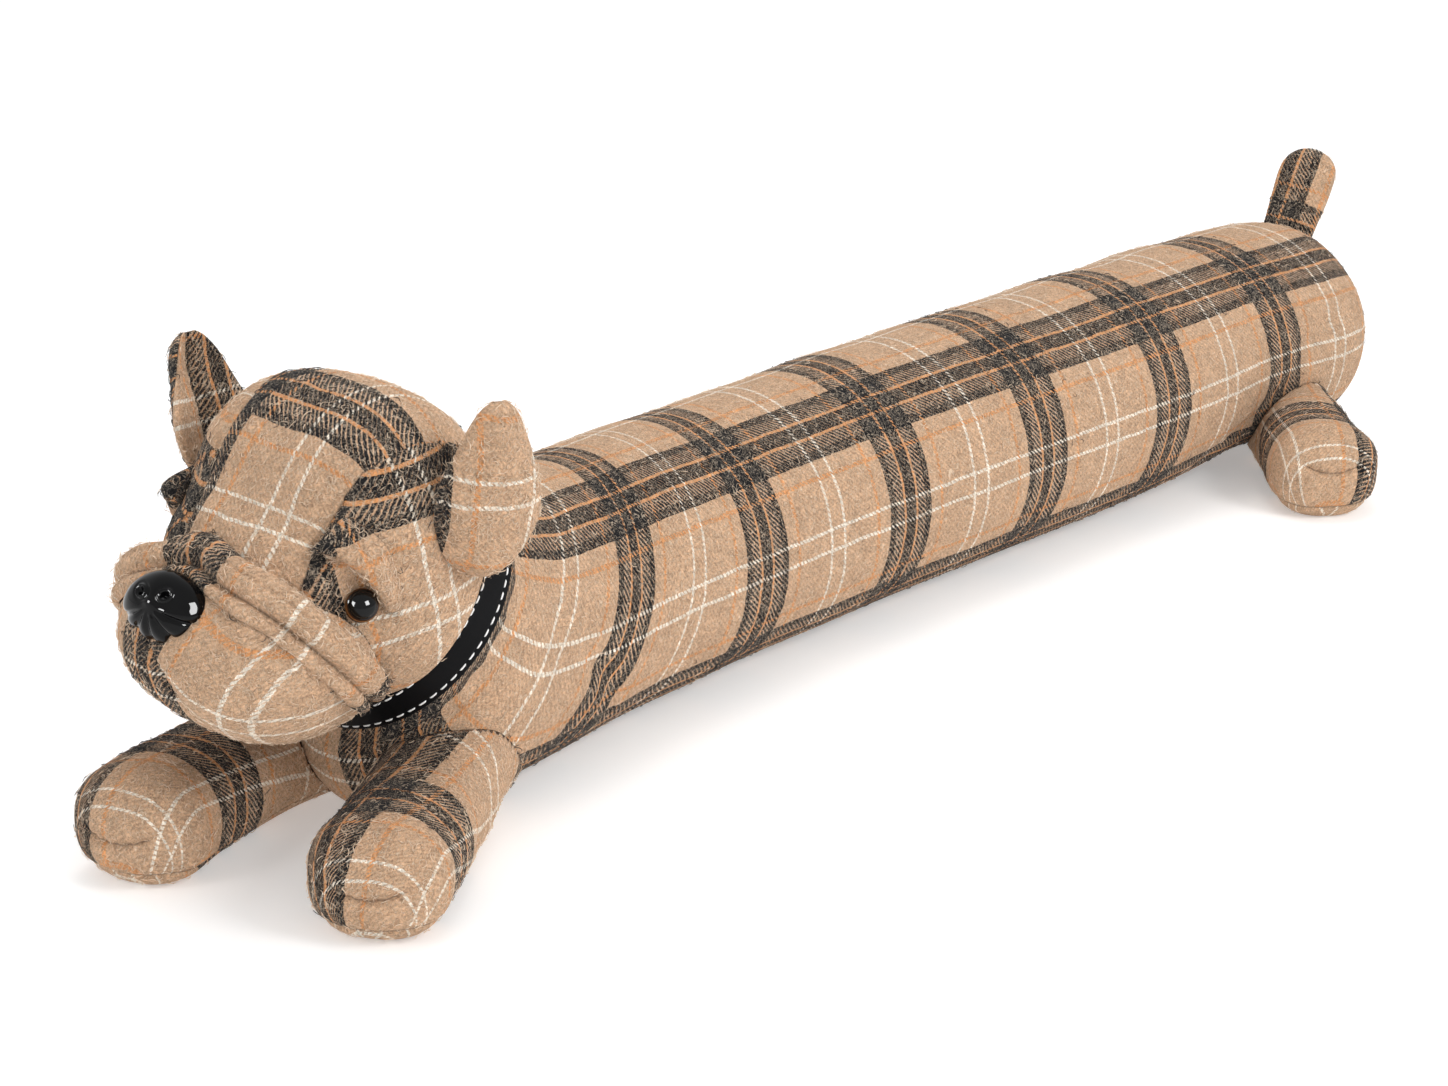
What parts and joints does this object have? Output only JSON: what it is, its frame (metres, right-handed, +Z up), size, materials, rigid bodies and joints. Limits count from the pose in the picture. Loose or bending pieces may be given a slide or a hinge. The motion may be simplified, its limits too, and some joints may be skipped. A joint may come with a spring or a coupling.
{
  "type": "draught excluder",
  "caption": "Stuffed tweed draught excluder in the shape of a lying bulldog, a long tube with head, ears, legs, tail and a stitched black collar.",
  "frame": {"origin": "centre of the footprint, on the floor", "axes": "+X from head to tail along the body, +Z up, the dog's left side towards -Y"},
  "size_m": [1.0156, 0.3162, 0.2299],
  "materials": {
    "tweed": "brushed wool-like checked tweed, beige with charcoal bands, cream and rust lines",
    "strap": "smooth black leatherette with white stitching",
    "nose": "glossy black moulding",
    "eyes": "glossy black domes with a brown ring"
  },
  "bodies": {
    "root": {"body": "tweed", "head": "tweed", "muzzle": "tweed", "lip": "tweed", "brow_left": "tweed", "brow_right": "tweed", "ear_left": "tweed", "ear_right": "tweed", "front_leg_left": "tweed", "front_leg_right": "tweed", "hind_leg_left": "tweed", "hind_leg_right": "tweed", "tail": "tweed", "nose": "nose", "eye_left": "eyes", "eye_right": "eyes", "collar": "strap"}
  },
  "joints": []
}
